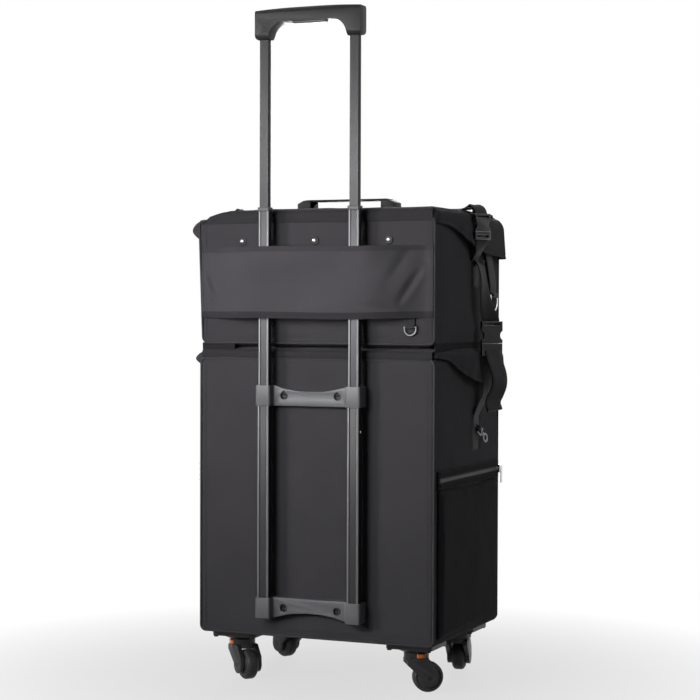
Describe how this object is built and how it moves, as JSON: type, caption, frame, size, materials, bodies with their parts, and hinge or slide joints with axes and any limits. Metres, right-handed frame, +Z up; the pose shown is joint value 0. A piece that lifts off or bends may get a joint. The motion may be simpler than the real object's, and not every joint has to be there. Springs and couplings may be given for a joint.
{
  "type": "rolling case",
  "caption": "Soft-sided rolling case with a stacked upper bag, flap lids with side buckles, a two-stage telescopic handle and swivel casters.",
  "frame": {"origin": "centre of the footprint on the ground, at rest with the handle drawn out", "axes": "+Z up, +Y towards the rails on the back panel, -Y towards the front where the lids open, +X towards one side panel"},
  "size_m": [0.4568, 0.328, 1.003],
  "materials": {
    "nylon": "black coated nylon, plain weave",
    "zip_tape": "black zip tape",
    "webbing": "black ribbed webbing",
    "board": "grey board with cloth lining",
    "moulded_plastic": "black moulded plastic, fine grain",
    "rail": "dark anodised aluminium",
    "black_screw": "blackened steel",
    "steel": "nickel-plated steel",
    "orange_plastic": "orange moulded plastic",
    "wheel_rubber": "black rubber"
  },
  "bodies": {
    "root": {"lower_shell": "nylon", "base_board": "board", "back_board": "board", "lower_divider": "board", "outer_pockets": "nylon", "pocket_zips": "zip_tape", "fixed_rails": "rail", "top_bracket": "moulded_plastic", "bottom_bracket": "moulded_plastic", "bracket_screws": "black_screw", "wheel_plates": "moulded_plastic", "plate_screws": "steel", "join_straps_lower": "webbing", "join_buckle_males": "moulded_plastic", "hook_tabs": "webbing"},
    "zip_left": {"zip_slider_left": "steel"},
    "zip_right": {"zip_slider_right": "steel"},
    "zip_front": {"zip_slider_front": "steel"},
    "hook_left": {"strap_hook_left": "steel"},
    "hook_right": {"strap_hook_right": "steel"},
    "lower_flap": {"lower_lid": "nylon"},
    "upper_bag": {"upper_shell": "nylon", "rail_sleeve": "nylon", "snap_studs": "steel", "rest_feet": "wheel_rubber", "upper_dividers": "board", "bag_straps": "webbing", "lid_buckle_males": "moulded_plastic", "join_buckle_females": "moulded_plastic"},
    "ring_left": {"side_ring_left": "steel"},
    "ring_right": {"side_ring_right": "steel"},
    "back_ring": {"d_ring": "steel"},
    "upper_flap": {"upper_lid": "nylon", "lid_straps": "webbing", "lid_buckle_females": "moulded_plastic", "handle_caps": "moulded_plastic"},
    "top_handle": {"carry_handle": "moulded_plastic"},
    "mid_stage": {"mid_tubes": "rail", "mid_collars": "moulded_plastic"},
    "top_stage": {"top_tubes": "rail", "grip": "moulded_plastic", "button_spring": "steel"},
    "lock_button": {"grip_button": "moulded_plastic", "lock_linkage": "steel"},
    "caster_rl": {"caster_fork_rl": "moulded_plastic", "caster_axle_rl": "steel"},
    "wheel_rl": {"caster_wheel_rl": "wheel_rubber"},
    "release_rl": {"release_button_rl": "orange_plastic"},
    "caster_rr": {"caster_fork_rr": "moulded_plastic", "caster_axle_rr": "steel"},
    "wheel_rr": {"caster_wheel_rr": "wheel_rubber"},
    "release_rr": {"release_button_rr": "orange_plastic"},
    "caster_fl": {"caster_fork_fl": "moulded_plastic", "caster_axle_fl": "steel"},
    "wheel_fl": {"caster_wheel_fl": "wheel_rubber"},
    "release_fl": {"release_button_fl": "orange_plastic"},
    "caster_fr": {"caster_fork_fr": "moulded_plastic", "caster_axle_fr": "steel"},
    "wheel_fr": {"caster_wheel_fr": "wheel_rubber"},
    "release_fr": {"release_button_fr": "orange_plastic"}
  },
  "joints": [
    {"name": "zip_left_slide", "type": "slide", "parent": "root", "child": "zip_left", "axis": [0, 1, 0], "range_m": [0, 0.225]},
    {"name": "zip_right_slide", "type": "slide", "parent": "root", "child": "zip_right", "axis": [0, 1, 0], "range_m": [0, 0.225]},
    {"name": "zip_front_slide", "type": "slide", "parent": "root", "child": "zip_front", "axis": [-1, 0, 0], "range_m": [0, 0.27]},
    {"name": "hook_left_swing", "type": "hinge", "parent": "root", "child": "hook_left", "pos_m": [-0.1952, -0.04095, 0.382], "axis": [0, 0.6691, -0.7431], "range_deg": [-10, 70]},
    {"name": "hook_right_swing", "type": "hinge", "parent": "root", "child": "hook_right", "pos_m": [0.1952, -0.04095, 0.382], "axis": [0, -0.6691, 0.7431], "range_deg": [-10, 70]},
    {"name": "upper_bag_lift", "type": "slide", "parent": "root", "child": "upper_bag", "axis": [0, 0, 1], "range_m": [0, 0.46]},
    {"name": "lower_lid_hinge", "type": "hinge", "parent": "root", "child": "lower_flap", "pos_m": [0, 0.12905, 0.5], "axis": [-1, 0, 0], "range_deg": [0, 87]},
    {"name": "upper_lid_hinge", "type": "hinge", "parent": "upper_bag", "child": "upper_flap", "pos_m": [0, 0.12905, 0.706], "axis": [-1, 0, 0], "range_deg": [0, 78]},
    {"name": "carry_handle_pull", "type": "slide", "parent": "upper_flap", "child": "top_handle", "axis": [0, 0, 1], "range_m": [0, 0.006]},
    {"name": "ring_left_swing", "type": "hinge", "parent": "upper_bag", "child": "ring_left", "pos_m": [-0.1932, -0.11495, 0.584], "axis": [0, 1, 0], "range_deg": [0, 80]},
    {"name": "ring_right_swing", "type": "hinge", "parent": "upper_bag", "child": "ring_right", "pos_m": [0.1932, -0.11495, 0.584], "axis": [0, -1, 0], "range_deg": [0, 80]},
    {"name": "back_ring_swing", "type": "hinge", "parent": "upper_bag", "child": "back_ring", "pos_m": [-0.152, 0.13445, 0.537], "axis": [1, 0, 0], "range_deg": [0, 95]},
    {"name": "handle_mid_slide", "type": "slide", "parent": "root", "child": "mid_stage", "axis": [0, 0, 1], "range_m": [-0.251, 0]},
    {"name": "handle_top_slide", "type": "slide", "parent": "mid_stage", "child": "top_stage", "axis": [0, 0, 1], "range_m": [-0.242, 0]},
    {"name": "grip_button_press", "type": "slide", "parent": "top_stage", "child": "lock_button", "axis": [0, 0, 1], "range_m": [0, 0.003], "stiffness_N_per_m": 600, "springref_m": -0.002, "deforming": ["button_spring"]},
    {"name": "caster_rl_swivel", "type": "hinge", "parent": "root", "child": "caster_rl", "pos_m": [0.142, 0.07905, 0.052], "axis": [0, 0, 1], "continuous": true},
    {"name": "wheel_rl_spin", "type": "hinge", "parent": "caster_rl", "child": "wheel_rl", "pos_m": [0.12879, 0.08975, 0.0225], "axis": [0.6293, 0.7771, 0], "continuous": true},
    {"name": "release_rl_press", "type": "slide", "parent": "root", "child": "release_rl", "axis": [-0.7071, -0.7071, 0], "range_m": [0, 0.002], "stiffness_N_per_m": 800, "springref_m": -0.001},
    {"name": "caster_rr_swivel", "type": "hinge", "parent": "root", "child": "caster_rr", "pos_m": [-0.142, 0.07905, 0.052], "axis": [0, 0, 1], "continuous": true},
    {"name": "wheel_rr_spin", "type": "hinge", "parent": "caster_rr", "child": "wheel_rr", "pos_m": [-0.15642, 0.07004, 0.0225], "axis": [-0.5299, 0.848, 0], "continuous": true},
    {"name": "release_rr_press", "type": "slide", "parent": "root", "child": "release_rr", "axis": [0.7071, -0.7071, 0], "range_m": [0, 0.002], "stiffness_N_per_m": 800, "springref_m": -0.001},
    {"name": "caster_fl_swivel", "type": "hinge", "parent": "root", "child": "caster_fl", "pos_m": [0.142, -0.09895, 0.052], "axis": [0, 0, 1], "continuous": true},
    {"name": "wheel_fl_spin", "type": "hinge", "parent": "caster_fl", "child": "wheel_fl", "pos_m": [0.15672, -0.10745, 0.0225], "axis": [-0.5, -0.866, 0], "continuous": true},
    {"name": "release_fl_press", "type": "slide", "parent": "root", "child": "release_fl", "axis": [-0.7071, 0.7071, 0], "range_m": [0, 0.002], "stiffness_N_per_m": 800, "springref_m": -0.001},
    {"name": "caster_fr_swivel", "type": "hinge", "parent": "root", "child": "caster_fr", "pos_m": [-0.142, -0.09895, 0.052], "axis": [0, 0, 1], "continuous": true},
    {"name": "wheel_fr_spin", "type": "hinge", "parent": "caster_fr", "child": "wheel_fr", "pos_m": [-0.13876, -0.11564, 0.0225], "axis": [-0.9816, -0.1908, 0], "continuous": true},
    {"name": "release_fr_press", "type": "slide", "parent": "root", "child": "release_fr", "axis": [0.7071, 0.7071, 0], "range_m": [0, 0.002], "stiffness_N_per_m": 800, "springref_m": -0.001}
  ],
  "couplings": [
    {"joint": "lower_lid_hinge", "follows": "upper_bag_lift", "rad_per_m": 3.3}
  ]
}
